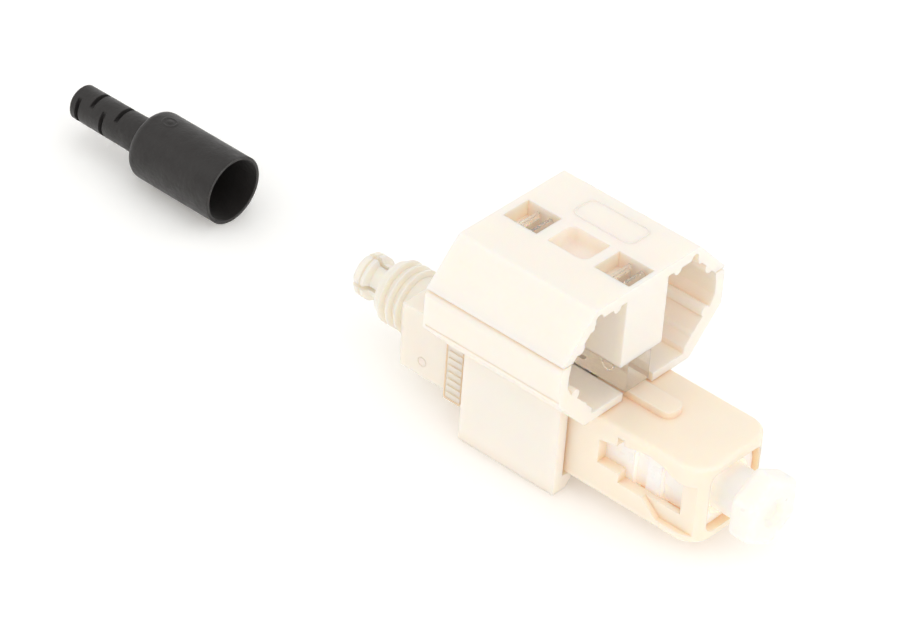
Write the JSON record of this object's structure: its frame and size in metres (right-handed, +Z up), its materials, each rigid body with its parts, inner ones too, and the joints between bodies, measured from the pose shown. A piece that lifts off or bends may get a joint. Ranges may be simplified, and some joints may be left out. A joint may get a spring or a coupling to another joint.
{
  "type": "sc fibre connector",
  "caption": "Field-fitted SC fibre plug with a mechanical splice inside, held in a squeeze clip that keeps the splice open; dust cap on, rubber boot beside it.",
  "frame": {"origin": "on the ferrule's axis, 0.45 mm behind the front edge of the grip (the SC plug's mating end)", "axes": "+X out of the plug towards the adapter, +Z up through the squeeze clip, +Y to the left seen from the tail"},
  "size_m": [0.0798, 0.02, 0.0202],
  "materials": {
    "beige_plastic": "satin moulded plastic",
    "ivory_plastic": "satin moulded plastic",
    "clip_plastic": "satin moulded plastic",
    "white_plastic": "satin moulded plastic",
    "cap_plastic": "milky, slightly translucent",
    "clear_plastic": "clear, slightly smoky",
    "zirconia": "polished ceramic",
    "metal": "turned",
    "glass_fibre": "clear",
    "splice_plastic": "moulded",
    "clamp_metal": "rolled sheet",
    "spring_steel": "drawn wire",
    "guide_plastic": "moulded",
    "boot_rubber": "satin"
  },
  "bodies": {
    "connector": {"saddle": "clip_plastic", "plug_frame": "white_plastic", "rear_body": "ivory_plastic", "tail_collet": "ivory_plastic", "fibre_guide": "guide_plastic", "spring_washer": "spring_steel", "ferrule_spring": "spring_steel", "boot": "boot_rubber"},
    "coupling": {"coupling_shell": "beige_plastic"},
    "ferrule_unit": {"ferrule": "zirconia", "ferrule_flange": "metal", "fibre_stub": "glass_fibre", "splice_base": "splice_plastic", "splice_lid_front": "splice_plastic", "splice_lid_middle": "splice_plastic", "splice_lid_rear": "splice_plastic", "splice_clamp": "clamp_metal"},
    "wedge_unit": {"squeeze_frame": "clip_plastic", "wedge": "clear_plastic"},
    "cap": {"dust_cap": "cap_plastic"}
  },
  "joints": [
    {"name": "coupling_slide", "type": "slide", "parent": "connector", "child": "coupling", "axis": [-1, 0, 0], "range_m": [0, 0.0012]},
    {"name": "ferrule_float", "type": "slide", "parent": "connector", "child": "ferrule_unit", "axis": [-1, 0, 0], "range_m": [0, 0.0006], "stiffness_N_per_m": 2000, "springref_m": -0.003, "deforming": ["ferrule_spring"]},
    {"name": "wedge_lift", "type": "slide", "parent": "connector", "child": "wedge_unit", "axis": [0, 0, 1], "range_m": [0, 0.0016], "stiffness_N_per_m": 900, "springref_m": -0.0005},
    {"name": "cap_pull", "type": "slide", "parent": "connector", "child": "cap", "axis": [1, 0, 0], "range_m": [0, 0.012]}
  ]
}
